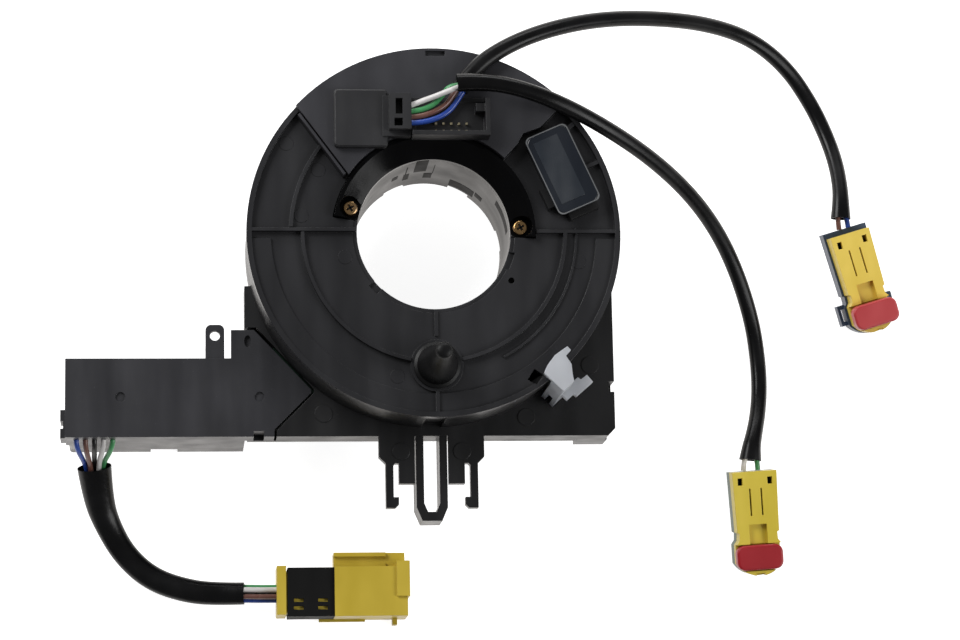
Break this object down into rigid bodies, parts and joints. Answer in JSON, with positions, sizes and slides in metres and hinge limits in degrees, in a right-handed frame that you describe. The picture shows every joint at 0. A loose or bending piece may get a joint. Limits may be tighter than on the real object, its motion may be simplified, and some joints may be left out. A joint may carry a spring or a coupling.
{
  "type": "steering clock spring",
  "caption": "Black steering-column clock spring with an angle sensor box, two airbag leads with yellow plugs and a vehicle-side loom plug.",
  "frame": {"origin": "on the steering axis, level with the front face of the frame's plate", "axes": "+Z along the steering axis towards the driver, +X the driver's right, +Y up, away from the fixing legs"},
  "size_m": [0.2498, 0.1793, 0.0726],
  "materials": {
    "black_plastic": "satin",
    "gloss_black": "gloss",
    "white_acetal": "satin",
    "magnet": "satin",
    "flat_cable": "gloss",
    "circuit_board": "satin",
    "chip_black": "satin",
    "brass_screw": "satin",
    "contacts": "satin",
    "smoked_window": "gloss",
    "rubber": "matte",
    "clear_clip": "satin",
    "yellow_plastic": "satin",
    "blue_grey_plastic": "satin",
    "green_plastic": "satin",
    "red_plastic": "satin",
    "sleeve_black": "gloss",
    "wire_brown": "satin",
    "wire_blue": "satin",
    "wire_white": "satin",
    "wire_green": "satin",
    "wire_black": "satin"
  },
  "bodies": {
    "stator": {"base_frame": "black_plastic", "back_plate": "black_plastic", "sensor_box": "black_plastic", "box_cover": "black_plastic", "circuit_board": "circuit_board", "board_chips": "chip_black", "wire_header": "black_plastic", "flat_cable": "flat_cable", "loom_sleeve": "sleeve_black", "loom_blue_wire": "wire_blue", "loom_brown_wire": "wire_brown", "loom_black_wire": "wire_black", "loom_white_wire": "wire_white", "loom_green_wire": "wire_green", "loom_plug_body": "yellow_plastic", "loom_plug_retainer": "black_plastic", "first_plug_front": "yellow_plastic", "first_plug_back": "blue_grey_plastic", "first_plug_contacts": "contacts", "second_plug_front": "yellow_plastic", "second_plug_back": "green_plastic", "second_plug_contacts": "contacts"},
    "rotor": {"rotor_disc": "black_plastic", "hub_sleeve": "black_plastic", "drive_gear": "white_acetal", "hub_collar": "gloss_black", "collar_screws": "brass_screw", "terminal_cover": "black_plastic", "socket_housing": "black_plastic", "socket_pins": "contacts", "window_bezel": "black_plastic", "sight_window": "smoked_window", "rubber_cone": "rubber", "first_sleeve": "sleeve_black", "second_sleeve": "sleeve_black", "brown_wire": "wire_brown", "blue_wire": "wire_blue", "white_wire": "wire_white", "green_wire": "wire_green"},
    "first_sensor_gear": {"first_gear": "white_acetal", "first_magnet": "magnet"},
    "second_sensor_gear": {"second_gear": "white_acetal", "second_magnet": "magnet"},
    "lock_clip": {"transport_lock": "clear_clip"},
    "first_red_lock": {"first_plug_lock": "red_plastic"},
    "second_red_lock": {"second_plug_lock": "red_plastic"}
  },
  "joints": [
    {"name": "rotor_turn", "type": "hinge", "parent": "stator", "child": "rotor", "pos_m": [0, 0, 0], "axis": [0, 0, 1], "range_deg": [-1080, 1080], "deforming": ["flat_cable", "first_sleeve", "second_sleeve", "brown_wire", "blue_wire", "white_wire", "green_wire"]},
    {"name": "first_gear_turn", "type": "hinge", "parent": "stator", "child": "first_sensor_gear", "pos_m": [-0.03408, -0.01589, -0.006], "axis": [0, 0, 1], "range_deg": [-3540, 3540]},
    {"name": "second_gear_turn", "type": "hinge", "parent": "stator", "child": "second_sensor_gear", "pos_m": [-0.0192, -0.03325, -0.006], "axis": [0, 0, 1], "range_deg": [-3245, 3245]},
    {"name": "clip_slide", "type": "slide", "parent": "stator", "child": "lock_clip", "axis": [0, 0, 1], "range_m": [0, 0.015]},
    {"name": "first_lock_slide", "type": "slide", "parent": "stator", "child": "first_red_lock", "axis": [0.0508, -0.1661, 0.9848], "range_m": [-0.0025, 0]},
    {"name": "second_lock_slide", "type": "slide", "parent": "stator", "child": "second_red_lock", "axis": [0.0115, -0.1733, 0.9848], "range_m": [0, 0.0025]}
  ],
  "couplings": [
    {"joint": "first_gear_turn", "follows": "rotor_turn", "ratio": -3.2727},
    {"joint": "second_gear_turn", "follows": "rotor_turn", "ratio": -3}
  ]
}
